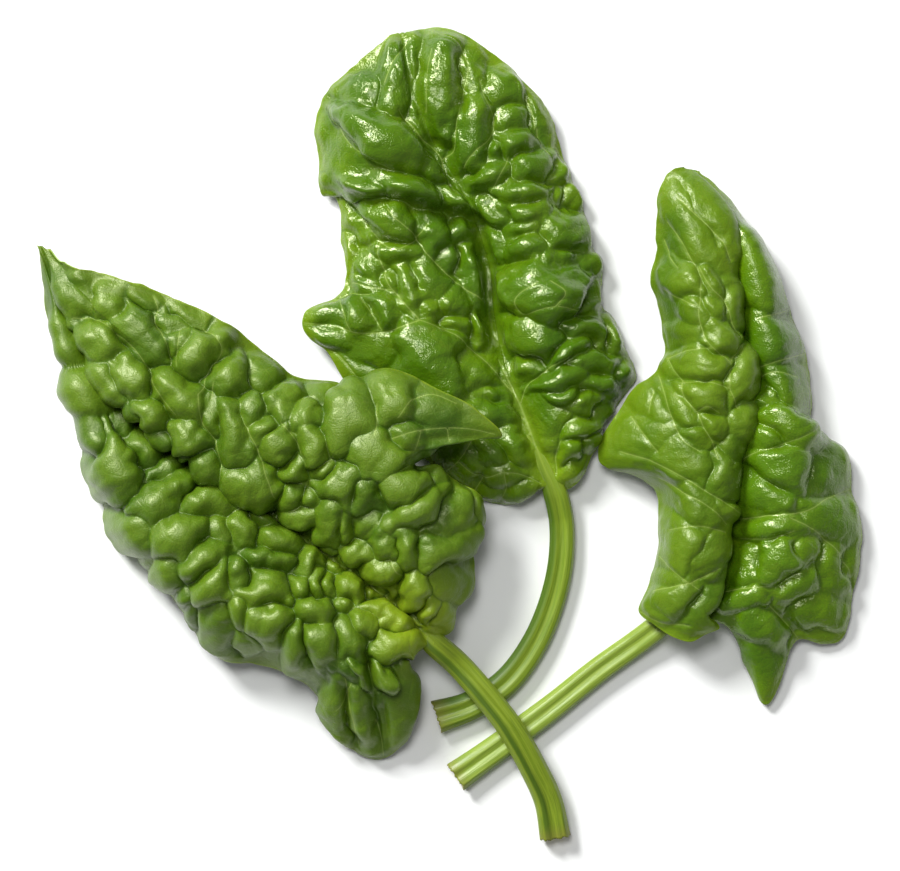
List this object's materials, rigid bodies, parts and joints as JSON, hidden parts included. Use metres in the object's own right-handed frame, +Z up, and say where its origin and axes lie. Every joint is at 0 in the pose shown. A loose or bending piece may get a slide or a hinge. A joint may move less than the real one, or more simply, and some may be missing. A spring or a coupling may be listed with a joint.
{
  "type": "spinach bunch",
  "caption": "Lying bunch of cut savoy spinach leaves, with quilted and folded blades, crossed grooved stalks and ribs that run on under the blades.",
  "frame": {"origin": "middle of the bunch's bounding box, on the table that it lies on", "axes": "+Z up from the table, +Y towards the tip of the middle leaf, +X towards the folded leaf on the right"},
  "size_m": [0.204, 0.2023, 0.0295],
  "materials": {
    "leaf_left": "satin green leaf skin",
    "leaf_middle": "moist glossy dark green leaf skin",
    "leaf_right": "satin green leaf skin, paler underneath",
    "stalk": "satin pale yellow-green stalk skin"
  },
  "bodies": {
    "root": {"left_blade": "leaf_left", "left_stalk": "stalk", "middle_blade": "leaf_middle", "middle_stalk": "stalk", "right_blade": "leaf_right", "right_stalk": "stalk"}
  },
  "joints": []
}
